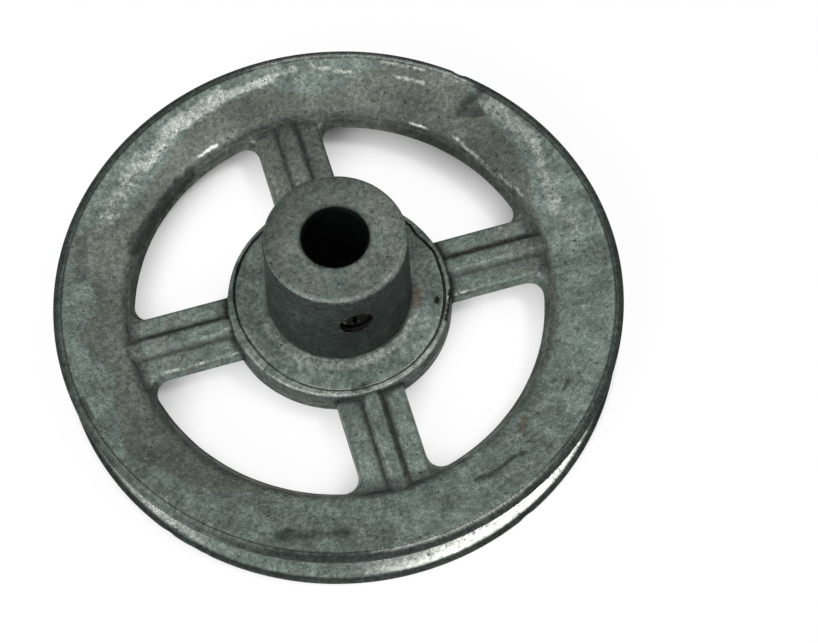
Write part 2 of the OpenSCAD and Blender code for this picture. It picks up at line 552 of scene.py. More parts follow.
def bump(offset, width):
    """1 where offset is 0, and falling smoothly to almost nothing within twice the width."""
    return np.exp(-((offset / width) ** 2))


def noise_at(points, size, seed):
    """Smooth noise from about -1 to 1 with bumps of about that size."""
    shift = np.array([17.3, 5.1, 11.7]) * (seed + 1)
    return np.array([noise.noise(place) for place in (points / size + shift).tolist()])


# How deep the mould's ring is, as a share of SEAM_DEPTH. It is deepest where flash broke away.
SEAM_STOPS = [(0, 1.6), (18, 1.7), (40, 1.5), (62, 2.2), (75, 0.8), (110, 0.9), (132, 1.8), (150, 2.4),
              (164, 1.2), (200, 0.9), (235, 0.7), (262, 0.45), (290, 0.6), (318, 0.9), (335, 1.5)]
# How far it wanders outwards, and how wide the band around it is that wanders with it
SEAM_WANDER = [(1, 0.2), (10, 0.5), (17, 0.0), (25, -0.4), (31, 0.3), (60, 0.3), (100, 0.4), (136, 0.5),
               (150, 0.4), (164, 0.2), (175, -0.1), (185, -0.35), (199, -0.6), (216, -0.5), (232, -0.2),
               (247, 0.2), (325, 0.3)]
SEAM_WANDER_W = 0.9


def shape_seam(points):
    """Lets the mould's ring on the disc wander, and varies its depth and with it its width."""
    radius, angle = polar(points)
    off = radius - SEAM_R
    near = (np.abs(off) < 2) & (np.abs(points[:, 2] - DISC_TOP) < 0.6)
    share = around(angle, SEAM_STOPS) * (1 + 0.5 * noise_at(points, 2.0, 1))
    share[np.abs(off) > 0.5] = 1
    wander = around(angle, SEAM_WANDER) + 0.12 * noise_at(points, 6.0, 2)
    moved = SEAM_R + off * (0.15 * share + 0.75) + wander * bump(off, SEAM_WANDER_W)
    points[near, :2] *= (moved / radius)[near, None]
    points[near, 2] = DISC_TOP - (DISC_TOP - points[near, 2]) * share[near]


# Small knocks lie at random on these circles (radius, height), on both lips and on the rim's face
DENTS = 26
DENT_CIRCLES = [(OUTER_R - 0.6, RIM_W - 0.7), (OUTER_R - 0.6, 0.8), (57, RIM_W - 0.3)]
DENT_SIZE = (0.7, 1.9)
DENT_DEPTH = (0.08, 0.3)


def dents(points):
    """How deep the knocks in the rim reach at each point."""
    rng = np.random.default_rng(SEED)
    depth = np.zeros(len(points))
    for _ in range(DENTS):
        angle = rng.uniform(0, 2 * math.pi)
        radius, height = DENT_CIRCLES[rng.integers(len(DENT_CIRCLES))]
        place = np.array([radius * math.cos(angle), radius * math.sin(angle), height])
        size, deepest = rng.uniform(*DENT_SIZE), rng.uniform(*DENT_DEPTH)
        gap = np.linalg.norm(points - place, axis=1)
        depth = np.maximum(depth, deepest * (1 - (gap / size) ** 2))
    return depth


# How far the cast skin lies inside the ideal surface on average, and at least
SKIN = 0.07
LEAST_SKIN = 0.005
# The share of it on the crisp lips
LIP_SKIN = 0.3


def roughen(piece):
    """Presses the cast skin in unevenly, with the knocks. The bore and its chamfers stay true."""
    mesh = piece.data
    points = get_points(mesh)
    shape_seam(points)
    radius = polar(points)[0]
    skin = SKIN + 0.05 * noise_at(points, 9.0, 3) + 0.025 * noise_at(points, 2.8, 4)
    skin *= np.where(radius > OUTER_R - LIP_W, LIP_SKIN, 1.0)
    cast = radius > BORE_R + BORE_CHAMFER + 0.2
    depth = (np.maximum(skin, LEAST_SKIN) + dents(points)) * cast
    set_points(mesh, points - point_normals(mesh) * depth[:, None])


# ---------- wear, dirt, painted highlights and painted shade on the casting


def mesh_edges(mesh):
    ends = np.empty(len(mesh.edges) * 2, np.int32)
    mesh.edges.foreach_get("vertices", ends)
    return ends.reshape(-1, 2).T


def bends(mesh):
    """How strongly each point bends outwards and inwards, in 1/mm."""
    points, normals = get_points(mesh), point_normals(mesh)
    start, end = mesh_edges(mesh)
    step = points[end] - points[start]
    bend = ((normals[end] - normals[start]) * step).sum(1) / (step**2).sum(1)
    outward, inward = np.zeros(len(points)), np.zeros(len(points))
    for side in (start, end):
        np.maximum.at(outward, side, bend)
        np.maximum.at(inward, side, -bend)
    return outward, inward


def spread(mesh, values, rounds):
    """Blurs values over the mesh, each round by about one face."""
    start, end = mesh_edges(mesh)
    count = np.bincount(start, minlength=len(values)) + np.bincount(end, minlength=len(values))
    for _ in range(rounds):
        total = np.bincount(start, values[end], len(values)) + np.bincount(end, values[start], len(values))
        values = 0.4 * values + 0.6 * total / count
    return values


def paint(mesh, name, values):
    """Keeps a value from 0 to 1 at each point, for the material to read."""
    layer = mesh.attributes.new(name, "FLOAT", "POINT")
    layer.data.foreach_set("value", np.clip(values, 0, 1).astype(np.float32))


def streak(points, start, end, width):
    """A soft straight mark on the casting between two places (angle, radius)."""
    turns, radii = np.radians([start[0], end[0]]), np.array([start[1], end[1]])
    first, last = np.stack([np.cos(turns), np.sin(turns)], 1) * radii[:, None]
    offset, side = points[:, :2] - first, last - first
    share = np.clip(offset @ side / (side @ side + 1e-9), 0, 1)
    return bump(np.linalg.norm(offset - share[:, None] * side, axis=1), width)


# How far out the brown film on the rim's face reaches, and the width over which it fades
FILM_STOPS = [(0, 46.5), (12, 47.5), (20, 51), (28, 53), (36, 54), (44, 57), (50, 61), (60, 60), (68, 55),
              (76, 51), (83, 50), (90, 54), (104, 54), (114, 52.8), (121, 51), (128, 49.8), (140, 50),
              (145, 53), (151, 59), (157, 60), (160, 53), (168, 51), (175, 56), (180, 53), (185, 50),
              (192, 52.5), (198, 54.5), (206, 56.5), (212, 53.5), (220, 52.5), (228, 50.5), (236, 46),
              (300, 45), (330, 47)]
FILM_FADE = 5
# How much of that film lies on the outer ends of the spokes
SPOKE_FILM_STOPS = [(0, 0.35), (20, 0.4), (60, 0.9), (120, 0.9), (170, 0.3), (190, 0.35), (250, 0.1),
                    (290, 0.1)]
# Bright scuffs, and painted highlights and glints on the face's ridge and inner edge, each from one (angle,
# radius) to another, with half its width and a strength
SCUFFS_AND_HIGHLIGHTS = [
    ((90, 55.6), (104, 55.6), 1.0, 1.0),
    ((103, 55.6), (117, 55.2), 1.9, 1.0),
    ((119, 54.0), (128, 53.0), 2.2, 0.62),
    ((128, 54.5), (143, 53.5), 3.0, 0.5),
    ((70.5, 54.6), (80.5, 56.9), 0.5, 0.9),
    ((54, 55.2), (61, 54.9), 0.5, 0.8),
    ((84, 56.6), (90, 56.2), 0.8, 0.8),
    ((30, 55.0), (39, 56.0), 1.4, 0.6),
    ((24, 56.3), (37, 57.0), 1.9, 0.62),
    ((14, 52.3), (24, 56.3), 1.9, 0.52),
    ((6, 50.5), (14, 52.3), 1.8, 0.5),
    # The next two are a painted highlight on the ridge of the face
    ((55, 58.0), (65, 57.9), 0.5, 0.9),
    ((45, 58.6), (51, 58.6), 0.5, 0.95),
    # The next three are painted highlights and glints on the face's inner edge
    ((14, 46.8), (41, 46.6), 0.5, 0.65),
    ((48, 45.9), (54, 45.7), 0.4, 0.6),
    ((110, 46.4), (117, 46.8), 0.4, 0.9),
    ((0, 53), (17, 52.5), 2.0, 0.4),
    ((291, 53.9), (299, 55.5), 1.5, 0.42),
    ((298, 48.6), (302, 49.6), 1.5, 0.42),
]
# Dark smudges, in the same form
SMUDGES = [
    ((38.5, 54.0), (43, 52.0), 1.6, 0.8),
    ((41, 58), (43, 54), 1.5, 0.7),
    ((44, 50), (60, 51), 2.0, 0.4),
    ((150, 46), (120, 45.6), 1.0, 0.9),
    ((125, 45.5), (148, 46.8), 1.2, 0.9),
    ((151, 57), (160, 55), 2.5, 0.5),
    ((189, 58.3), (194, 58.2), 0.7, 0.95),
    ((242, 56), (243.5, 54.5), 0.9, 0.95),
    ((243, 55.8), (256, 54.0), 1.7, 0.6),
    ((234, 56.0), (240, 56.5), 0.7, 0.5),
    ((287, 51.4), (292, 52.2), 0.8, 0.85),
    ((292, 52.2), (296, 52.0), 0.6, 0.8),
    ((296, 52.0), (299.5, 53.2), 0.5, 0.75),
    ((301.5, 52.0), (303, 52.8), 0.7, 0.8),
    ((299, 57), (306, 56), 0.6, 0.6),
    ((317, 52.3), (320, 52.3), 0.5, 0.7),
    ((327, 51.5), (334, 51.2), 0.5, 0.45),
    ((270, 46.5), (290, 46.2), 0.8, 0.5),
    ((338, 20.7), (339, 20.7), 0.45, 1.0),
    ((337, 22.9), (326, 24.2), 0.5, 1.0),
    ((327, 17.0), (290, 16.2), 0.7, 0.4),
    ((338, 20.4), (340, 20.9), 0.8, 0.8),
]
# The worn band round the hub's foot: from one angle to another, radius, half its width and strength
HUB_BAND = (188, 325, 16.9, 1.0, 0.68)
# Painted shade and dirt along the ribs, strongest on the slopes that face away from the light: the spoke's
# angle, from and to how far out, how far to the left, half width, strength
RIB_SHADE_AND_DIRT = [
    (0, 26, 43.5, 2.2, 0.75, 1.0),
    (0, 27, 43, -2.0, 0.3, 0.35),
    (90, 25, 44, -1.9, 0.5, 0.6),
    (90, 30, 44, 2.2, 0.3, 0.35),
    (180, 26, 43, -2.1, 0.6, 0.8),
    (180, 27, 43, 1.9, 0.3, 0.4),
    (270, 25, 43.5, 1.9, 0.6, 0.85),
    (270, 25, 43.5, -2.3, 0.3, 0.5),
]
# Bright chips and painted glints on the edges, each from one place (x, y, z) to another, with half its width
CHIPS_AND_GLINTS = [
    ((6.3, -22.9, 12.4), (7.6, -22.2, 12.4), 0.35),
    ((4.5, -24.3, 11.5), (6.7, -23.8, 11.5), 0.35),
    ((-1.4, -32.8, 12.0), (-1.4, -38.0, 12.0), 0.4),
    ((-1.1, -39.5, 12.0), (-1.1, -42.0, 12.0), 0.6),
    ((5.1, -33.8, 11.1), (5.5, -36.0, 11.1), 0.2),
    ((23.8, -6.7, 10.9), (26.8, -6.6, 10.9), 0.4),
    ((30.5, -7.4, 9.1), (32.0, -7.4, 9.1), 0.4),
    ((-26.4, -1.3, 12.0), (-24.7, -0.6, 12.0), 0.4),
    ((-25.1, -6.5, 11.1), (-24.1, -6.4, 11.1), 0.3),
    ((-39.5, -6.4, 11.0), (-37.0, -6.5, 11.0), 0.5),
    ((-33.0, -6.6, 11.0), (-31.5, -6.6, 11.0), 0.4),
    ((-22.7, -5.7, 12.4), (-20.7, -11.1, 12.4), 0.3),
    ((-45.3, 0.2, 12.2), (-44.2, -2.8, 12.2), 0.4),
    ((0.7, -15.8, 12.6), (0.1, -16.7, 12.4), 0.25),
    ((-3.2, -15.9, 12.5), (-0.8, -16.1, 12.5), 0.16),
]
# Black marks, in the same form: a gash near the disc's edge below the right spoke, its depth given as painted
# shade, and painted shade in the screw's hole
GASHES_AND_SHADE = [
    ((23.0, -6.0, 12.0), (21.9, -9.2, 12.0), 0.8),
    ((21.9, -9.2, 12.0), (20.3, -12.2, 12.0), 0.95),
    ((19.6, -7.0, 12.4), (19.3, -7.7, 12.4), 0.6),
    ((-3.0, -12.5, 26.8), (3.2, -12.5, 28.2), 1.6),
]
# Rust stains, in the same form as the scuffs
RUST = [
    ((303.5, 49.2), (306.5, 48.2), 0.9, 0.9),
    ((349, 56.8), (352, 57.2), 0.7, 0.5),
    ((333, 16.6), (347, 16.8), 1.0, 1.0),
    ((4.5, 27), (3.6, 41), 0.7, 0.5),
    ((272.8, 43.5), (273.0, 42.0), 0.6, 0.8),
]

# How much painted shade darkens the rim's front lip at each angle
SIDE_SHADE_STOPS = [(0, 0.95), (60, 0.8), (75, 0.75), (95, 0.9), (165, 0.95), (180, 0.85), (195, 0.7), (212, 0.5),
              (228, 0.6), (242, 0.85), (255, 1.0), (275, 0.85), (300, 0.8), (320, 0.95)]
# How bright the groove is, from the belt's polishing and a painted sheen where it catches the light
POLISH_AND_SHEEN_STOPS = [(0, 0.4), (40, 0.9), (95, 0.5), (150, 0.8), (196, 0.5), (205, 0.75), (219, 0.7), (228, 0.3),
                (252, 0.25), (261, 0.6), (268, 0.95), (304, 1.0), (312, 0.75), (320, 0.4), (332, 0.3)]
# How bright the line where the rim's face meets its front lip is, from wear and a painted highlight
RIDGE_STOPS = [(0, 0.2), (30, 0.15), (42, 0.3), (45, 0.95), (90, 0.9), (97, 0.3), (120, 0.1), (200, 0.15),
               (206, 0.4), (222, 0.4), (228, 0.1), (258, 0.3), (265, 0.85), (294, 0.8), (304, 0.3),
               (330, 0.2)]


def round_bore(start, end, radius, width, strength):
    """Marks in the form of the scuffs that together run round the bore from one angle to another."""
    turns = np.linspace(start, end, 2 + round((end - start) / 12))
    return [((a, radius), (b, radius), width, strength) for a, b in zip(turns, turns[1:])]


def along_spoke(turn, start, end, left, width, strength):
    """A mark in the form of the scuffs from a mark along a spoke."""
    ends = [(turn + math.degrees(math.atan2(left, out)), math.hypot(left, out)) for out in (start, end)]
    return *ends, width, strength


def marks(points, streaks):
    """How strong the strongest mark is at each point of the casting's front."""
    total = np.zeros(len(points))
    for start, end, width, strength in streaks:
        total = np.maximum(total, strength * streak(points, start, end, width))
    return total * at_front(points)


def at_front(points):
    return points[:, 2] > PARTING_Z + 0.5


def at_hub_end(points):
    return points[:, 2] > HUB_END - 0.6


def between(value, low, high):
    return (value > low) & (value < high)


def grow(value, start, reach):
    """From 0 to 1 while value goes from start on by reach, which may be negative."""
    return np.clip((value - start) / reach, 0, 1)


def from_screw(points):
    """How far each point is from the screw's axis, and 9 mm more on the far side of the bore."""
    return np.hypot(points[:, 0], points[:, 2] - SCREW_Z) + 9 * (points[:, 1] > 0)


def in_hole(points):
    return (from_screw(points) < HOLE_R + 0.4) & (polar(points)[0] > BORE_R + 0.1)


def worn_and_highlit_edges(mesh, points, outward):
    """Exposed metal and painted highlights on the edges, most at the near right and on the hub's end, none on
    the rim's lips.
    """
    radius, angle = polar(points)
    wear = spread(mesh, np.clip(outward * 0.7, 0, 1.2), 1) * (0.33 - 0.2 * np.sin(np.radians(angle - 25)))
    wear = wear * np.where(points[:, 2] > HUB_END - 1.6, 1.25, 1.0)
    return wear * (radius < OUTER_R - 3)


def worn_and_highlit_ridge(points):
    """Exposed metal and a painted highlight on the thin line where the rim's face meets its lip."""
    radius, angle = polar(points)
    return bump(radius - OUTER_R + 1.75, 0.35) * (points[:, 2] > RIM_W - 0.5) * around(angle, RIDGE_STOPS)


def grime(mesh, points, inward):
    """Painted shade in the hollows, and darker on the hub's end towards its edge and on the inner edge of the
    rim's face.
    """
    radius, angle = polar(points)
    hollows = spread(mesh, np.clip(inward, 0, 2), 3) * np.where(radius < DISC_R - 2, 0.2, 0.6)
    hub_end = at_hub_end(points) * grow(radius, 7, 9)
    hub_end = hub_end * (0.45 + 0.5 * np.clip(np.sin(np.radians(angle - 35)), 0, 1))
    inner_edge = grow(radius, INNER_R + 4, -3) * (radius > INNER_R - 1) * (points[:, 2] > WEB_TOP - 0.5)
    return hollows + hub_end + (0.5 + 0.5 * bump(angle - 55, 40)) * inner_edge


def soot(points):
    """Near-black painted shade on the lips, the hub's side, the disc's side and the rim's inner wall, and in
    the hole.
    """
    radius, angle = polar(points)
    height = points[:, 2]
    lips = grow(radius, OUTER_R - 2.0, 0.7) * (np.abs(height - MID) > GROOVE_MOUTH / 2 - 0.25)
    lips = lips * np.where(at_front(points), around(angle, SIDE_SHADE_STOPS), 1)
    hub_side = between(radius, BORE_R + 2, HUB_FOOT_R + 0.2) & between(height, DISC_TOP + 0.6, HUB_END - 0.6)
    hub_side = hub_side * (0.8 + 0.2 * bump(from_screw(points), 4.5))
    disc_side = between(radius, DISC_R - 0.4, DISC_BACK_R + 0.3) & between(height, 5, DISC_TOP - 0.5)
    inner_wall = (np.abs(radius - INNER_R) < 1.6) & between(height, PARTING_Z - 1, PARTING_Z + 1.8)
    return lips + hub_side + 0.6 * disc_side + 0.55 * inner_wall + in_hole(points)


def film(points):
    """Brown film on the rim's face and the spokes' outer ends, and a thinner one everywhere else."""
    radius, angle = polar(points)
    face = grow(radius, around(angle, FILM_STOPS) + FILM_FADE / 2, -FILM_FADE)
    spokes = (radius > DISC_BACK_R) * around(angle, SPOKE_FILM_STOPS) * grow(radius, 20, 18)
    elsewhere = np.where(at_hub_end(points), 0.55, 0.2 + spokes)
    return np.where((radius > INNER_R + 0.3) & at_front(points), face, elsewhere)


def polish(points):
    """Bright metal on the groove's walls where the belt runs, with a painted sheen where they catch the
    light.
    """
    radius, angle = polar(points)
    belt = grow(radius, GROOVE_R + 3, 4) * grow(radius, OUTER_R - 0.8, -0.6)
    return belt * (np.abs(points[:, 2] - MID) < GROOVE_MOUTH / 2) * around(angle, POLISH_AND_SHEEN_STOPS)


def shade_inside(points):
    """Painted shade that makes the bore with its chamfers and the screw's hole look black."""
    chamfer_r = BORE_R + BORE_CHAMFER + 0.3
    return np.maximum((chamfer_r - polar(points)[0]) * 3, 0.9 * in_hole(points))


def paint_casting(mesh):
    points = get_points(mesh)
    outward, inward = bends(mesh)
    layers = {
        # Exposed metal on the edges, with painted highlights
        "edge": worn_and_highlit_edges(mesh, points, outward),
        # Wear and a painted highlight on the face's ridge
        "ridge": worn_and_highlit_ridge(points),
        # Painted shade in the creases
        "crease": spread(mesh, np.clip(inward * 0.5, 0, 1.5), 1),
        # Painted shade in the hollows, and darker places on the hub's end and the rim's face
        "grime": grime(mesh, points, inward),
        # Near-black painted shade on the sides and in the hole
        "soot": soot(points),
        "film": film(points),
        # Bright scuffs, with painted highlights and glints
        "scuff": marks(points, SCUFFS_AND_HIGHLIGHTS + round_bore(*HUB_BAND)),
        # Dark smudges, with painted shade along the ribs
        "smudge": marks(points, SMUDGES + [along_spoke(*mark) for mark in RIB_SHADE_AND_DIRT]),
        "rust": marks(points, RUST),
        # The belt's polishing, with a painted sheen
        "polish": polish(points),
        # Painted shade in the bore and the screw's hole
        "bore": shade_inside(points),
    }
    for name, values in layers.items():
        paint(mesh, name, values)


# ---------- the two pieces


def casting():
    shell = casting_shell()
    piece = make_piece("casting", np.concatenate(shell.points), shell.faces, MERGE_GAP)
    roughen(piece)
    cut_away(piece, screw_hole())
    piece.data.shade_smooth()
    piece.data.set_sharp_from_angle(angle=math.radians(38))
    paint_casting(piece.data)
    return piece


def screw_body():
    """The threaded rod, its cup point at the bore's end and its flat end, without the slot."""

    def radius_at(angle, along):
        ends = np.minimum(along - SCREW_POINT, SCREW_END - along) + SCREW_R - END_CHAMFER
        return np.minimum(SCREW_R - THREAD_DEPTH * thread_depth(angle, along), ends)

    cup = [ring(radius, SCREW_POINT + CUP_R - radius) for radius in (AXIS_GAP, CUP_R)]
    flat_end = [ring(radius, SCREW_END) for radius in (CUP_R, AXIS_GAP)]
    return rod([*cup, *threaded(radius_at, SCREW_POINT, SCREW_END), *flat_end])


def slot_cutter():
    half, above, beyond = SLOT_W / 2, 1, 4
    corners = [(-half, -SLOT_DEPTH, 0.15), (half, -SLOT_DEPTH, 0.15), (half, above, 0.0), (-half, above, 0.0)]
    x, depth = rounded(corners, CUTTER_STEP).T
    ends = [np.stack([x, -SCREW_END - depth, np.full(len(x), SCREW_Z + z)], 1) for z in (-beyond, beyond)]
    return make_piece("slot_cutter", *rod(ends))


def screw():
    piece = make_piece("screw", *screw_body())
    cut_away(piece, slot_cutter())
    piece.data.shade_smooth()
    piece.data.set_sharp_from_angle(angle=math.radians(30))
    # Bare steel on the screw's edges, with painted glints
    paint(piece.data, "edge", bends(piece.data)[0] * 0.16)
    return piece


# ---------- materials


class Nodes:
    """Builds the nodes of a material or a world. A value is a number, a colour or another node's socket."""

    def __init__(self, owner):
        owner.use_nodes = True
        self.tree = owner.node_tree

    def link(self, node, name, value):
        socket = node.inputs[name]
        if isinstance(value, bpy.types.NodeSocket):
            self.tree.links.new(value, socket)
        elif isinstance(value, tuple) and socket.type == "RGBA":
            socket.default_value = (*value, 1)
        else:
            socket.default_value = value

    def fill(self, node, **inputs):
        """Fills inputs by their names, with an underscore for each space in a name."""
        for name, value in inputs.items():
            self.link(node, name.replace("_", " "), value)
        return node

    def node(self, kind, **inputs):
        return self.fill(self.tree.nodes.new(kind), **inputs)

    def math(self, operation, *values, clamp=False):
        made = self.node("ShaderNodeMath")
        made.operation, made.use_clamp = operation, clamp
        for i, value in enumerate(values):
            self.link(made, i, value)
        return made.outputs[0]

    def ramp(self, value, low, high, first=0.0, last=1.0, kind="SMOOTHSTEP"):
        """Goes from first to last while value goes from low to high."""
        made = self.node("ShaderNodeMapRange", Value=value, From_Min=low, From_Max=high)
        made.interpolation_type = kind
        return self.fill(made, To_Min=first, To_Max=last).outputs["Result"]


class Paint(Nodes):
    """Builds a material's nodes. Sizes are in millimetres."""

    def __init__(self, name):
        self.material = bpy.data.materials.new(name)
        super().__init__(self.material)
        self.shader = self.tree.nodes["Principled BSDF"]
        self.place = self.scaled(self.node("ShaderNodeTexCoord").outputs["Object"], 1 / MM)

    def vectors(self, operation, first, second, name=1):
        """name is the input that second goes to."""
        made = self.node("ShaderNodeVectorMath", Vector=first)
        made.operation = operation
        self.link(made, name, second)
        return made

    def scaled(self, place, scale):
        return self.vectors("SCALE", place, scale, "Scale").outputs[0]

    def clamped(self, value):
        """value kept between 0 and 1"""
        return self.math("ADD", value, 0.0, clamp=True)

    def times(self, first, second):
        return self.math("MULTIPLY", first, second)

    def plus(self, value, other, share):
        """value + other * share"""
        return self.math("ADD", value, self.times(other, share))

    def most(self, first, second):
        return self.math("MAXIMUM", first, second)

    def noise(self, size, detail, roughness=0.55, stretch=(1, 1, 1), distortion=0.0):
        """Noise from 0 to 1 with patches of about that size."""
        scale = tuple(1 / size / s for s in stretch)
        at = self.node("ShaderNodeMapping", Vector=self.place, Scale=scale).outputs[0]
        made = self.node("ShaderNodeTexNoise", Vector=at, Scale=1.0, Detail=detail, Roughness=roughness)
        return self.fill(made, Distortion=distortion).outputs["Fac"]

    def dots(self, apart, radius):
        """Scattered dots, 1 in a dot and 0 outside. radius is a share of how far apart they are."""
        at = self.scaled(self.place, 1 / apart)
        made = self.node("ShaderNodeTexVoronoi", Vector=at, Scale=1.0, Randomness=1.0)
        return self.ramp(made.outputs["Distance"], radius, radius * 0.55)

    def painted(self, name):
        made = self.node("ShaderNodeAttribute")
        made.attribute_name = name
        return made.outputs["Fac"]

    def marked(self, name, texture, share, low, high):
        """A painted value that texture breaks up: 0 where their sum is under low, 1 where it is over high."""
        return self.ramp(self.plus(self.painted(name), texture, share), low, high)

    def strokes(self, lines, fray):
        """1 on thin lines and 0 elsewhere. fray, from about -1 to 1, roughens their edges."""
        total = 0.0
        for start, end, width in lines:
            span = Vector(end) - Vector(start)
            offset = self.vectors("SUBTRACT", self.place, start).outputs["Vector"]
            along = self.vectors("DOT_PRODUCT", offset, tuple(span / span.length_squared))
            share = self.clamped(along.outputs["Value"])
            gap = self.vectors("DISTANCE", offset, self.scaled(tuple(span), share)).outputs["Value"]
            total = self.most(total, self.ramp(self.plus(gap, fray, width), width, width * 0.4))
        return total

    def mix(self, share, first, last, blend="MIX"):
        made = self.node("ShaderNodeMix")
        made.data_type, made.blend_type = "RGBA", blend
        self.link(made, "Factor", share)
        self.link(made, 6, first)
        self.link(made, 7, last)
        return made.outputs[2]

    def cover(self, colour, other, amount, share):
        """colour with other over it, which covers that share of it where amount is 1"""
        return self.mix(self.times(amount, share), colour, other)

    def finish(self, colour, roughness, metallic, height, depth):
        """height goes to the bump, and depth is how high a full step of it stands, in millimetres."""
        relief = self.node("ShaderNodeBump", Height=height, Distance=depth * MM).outputs[0]
        self.fill(self.shader, Base_Color=colour, Roughness=roughness, Metallic=metallic, Normal=relief)
        return self.material


# Colours, as linear red, green and blue
GREEN_ZINC = (0.121, 0.154, 0.138)
PALE_ZINC = (0.193, 0.239, 0.214)
# The next two also colour painted highlights and a painted sheen
BARE_AND_HIGHLIT_ZINC = (0.5, 0.53, 0.49)
POLISHED_AND_SHEEN_ZINC = (0.56, 0.58, 0.53)
DARK_FILM = (0.094, 0.102, 0.085)
LIGHT_FILM = (0.145, 0.155, 0.133)
# The next four also colour painted shade
DARKENING_GREY = (0.052, 0.06, 0.056)
SIDE_SHADE_BLACK = (0.02, 0.025, 0.023)
SMUDGE_AND_SHADE_GREY = (0.025, 0.028, 0.026)
GASH_AND_SHADE_BLACK = (0.004, 0.005, 0.004)
ZINC_RUST = (0.13, 0.085, 0.05)
BLACK_STEEL = (0.012, 0.012, 0.011)
BROWN_STEEL = (0.045, 0.042, 0.038)
# This one also colours painted glints
BARE_AND_GLINT_STEEL = (0.38, 0.37, 0.34)
STEEL_RUST = (0.12, 0.06, 0.03)


class CastZinc(Paint):
    """The casting's metal, with the film, dirt, wear, painted highlights and painted shade that
    paint_casting() placed on it.
    """

    def __init__(self):
        super().__init__("cast_zinc")
        self.clouds = self.noise(16, 2)
        self.mottle = self.noise(4.5, 5, 0.62)
        self.speckle = self.noise(1.1, 4, 0.7)
        self.grain = self.noise(0.4, 4, 0.7)
        self.wisps = self.noise(2.4, 4, 0.6, (2.2, 1, 1))
        self.pits = self.most(self.dots(1.6, 0.13), self.times(self.dots(4.1, 0.1), 0.85))
        self.fray = self.times(self.math("SUBTRACT", self.speckle, 0.5), 4.0)
        uneven = self.math("SUBTRACT", self.mottle, 0.5)
        self.film = self.marked("film", uneven, 0.9, 0.46, 0.6)
        # Near-black painted shade on the sides and in the hole
        self.soot = self.marked("soot", uneven, 0.7, 0.15, 0.85)
        # The belt's polishing, with a painted sheen
        self.polish = self.marked("polish", self.mottle, 0.5, 0.6, 1.25)
        self.bare_and_highlit = self.bare_and_highlit_metal()

    def bare_and_highlit_metal(self):
        """How much metal shows through, with painted highlights and glints: scuffs, edges, the face's ridge,
        the groove's sheen and chipped spots.
        """
        streaks = self.plus(self.times(self.speckle, 0.55), self.wisps, 0.4)
        # Bright scuffs, with painted highlights and glints
        scuff = self.ramp(self.math("ADD", self.painted("scuff"), streaks), 0.72, 1.25)
        # Exposed metal on the edges, with painted highlights
        edge = self.times(self.marked("edge", self.mottle, 0.8, 0.62, 1.25), 0.4)
        # Wear and a painted highlight on the face's ridge
        ridge = self.times(self.marked("ridge", self.grain, 0.6, 0.5, 1.2), 0.8)
        # Bright chips and painted glints
        chips_and_glints = self.times(self.strokes(CHIPS_AND_GLINTS, self.fray), self.ramp(self.speckle, 0.38, 0.6, 0.1, 0.8))
        worn_and_highlit = self.most(self.times(scuff, 0.85), self.most(edge, ridge))
        return self.most(self.most(worn_and_highlit, self.polish), chips_and_glints)

    def dirty_and_shaded(self):
        """The colour of the cast skin under its film, dirt and painted shade."""
        skin = self.mix(self.ramp(self.mottle, 0.38, 0.66), GREEN_ZINC, PALE_ZINC)
        film = self.mix(self.ramp(self.clouds, 0.3, 0.7), DARK_FILM, LIGHT_FILM)
        colour = self.cover(skin, film, self.film, 0.85)
        # Painted shade in the hollows, and other darker places
        colour = self.cover(colour, DARKENING_GREY, self.marked("grime", self.wisps, 0.5, 0.35, 1.1), 0.8)
        # Near-black painted shade on the sides and in the hole
        colour = self.cover(colour, SIDE_SHADE_BLACK, self.soot, 0.93)
        # Dark smudges, with painted shade along the ribs
        return self.cover(colour, SMUDGE_AND_SHADE_GREY, self.marked("smudge", self.wisps, 0.6, 0.55, 0.95), 0.7)

    def worn_and_highlit(self, colour):
        """The colour with metal showing through, painted highlights, sheen and glints, rust, gashes and
        painted shade.
        """
        # Metal showing through, with painted highlights and glints
        colour = self.mix(self.bare_and_highlit, colour, BARE_AND_HIGHLIT_ZINC)
        # The belt's polishing, with a painted sheen
        colour = self.mix(self.polish, colour, POLISHED_AND_SHEEN_ZINC)
        colour = self.cover(colour, ZINC_RUST, self.marked("rust", self.grain, 0.8, 0.6, 1.2), 0.6)
        # Black gashes and painted shade
        return self.mix(self.strokes(GASHES_AND_SHADE, self.times(self.fray, 0.6)), colour, GASH_AND_SHADE_BLACK)

    def shade(self):
        """What the colour is multiplied by, for texture, flow lines, pits, and painted shade in the creases
        and the bore.
        """
        flow = self.math("ABSOLUTE", self.math("SUBTRACT", self.noise(7, 3, 0.6, distortion=1.6), 0.5))
        shades = [
            self.ramp(self.grain, 0.3, 0.72, 0.66, 1.28),
            self.ramp(flow, 0.0, 0.035, 1.22, 0.97),
            self.ramp(self.speckle, 0.3, 0.7, 0.62, 1.36),
            self.ramp(self.clouds, 0.3, 0.7, 0.85, 1.12),
            self.math("SUBTRACT", 1.0, self.times(self.pits, 0.65)),
            # Painted shade in the creases and in the bore
            self.ramp(self.painted("crease"), 0.25, 0.9, 1.0, 0.48),
            self.ramp(self.painted("bore"), 0.2, 1.0, 1.0, 0.03),
        ]
        return functools.reduce(self.times, shades)

    def roughness(self):
        rough = self.plus(self.ramp(self.mottle, 0.3, 0.7, 0.4, 0.56), self.film, 0.06)
        return self.plus(self.plus(rough, self.soot, 0.12), self.bare_and_highlit, -0.14)

    def metallic(self):
        return self.plus(self.plus(0.4, self.soot, -0.3), self.bare_and_highlit, 0.5)

    def gloss(self):
        """How much the skin reflects. The painted shade on the sides and in the bore is dull."""
        dull = self.most(self.times(self.soot, 0.8), self.clamped(self.painted("bore")))
        return self.times(0.4, self.math("SUBTRACT", 1.0, dull))

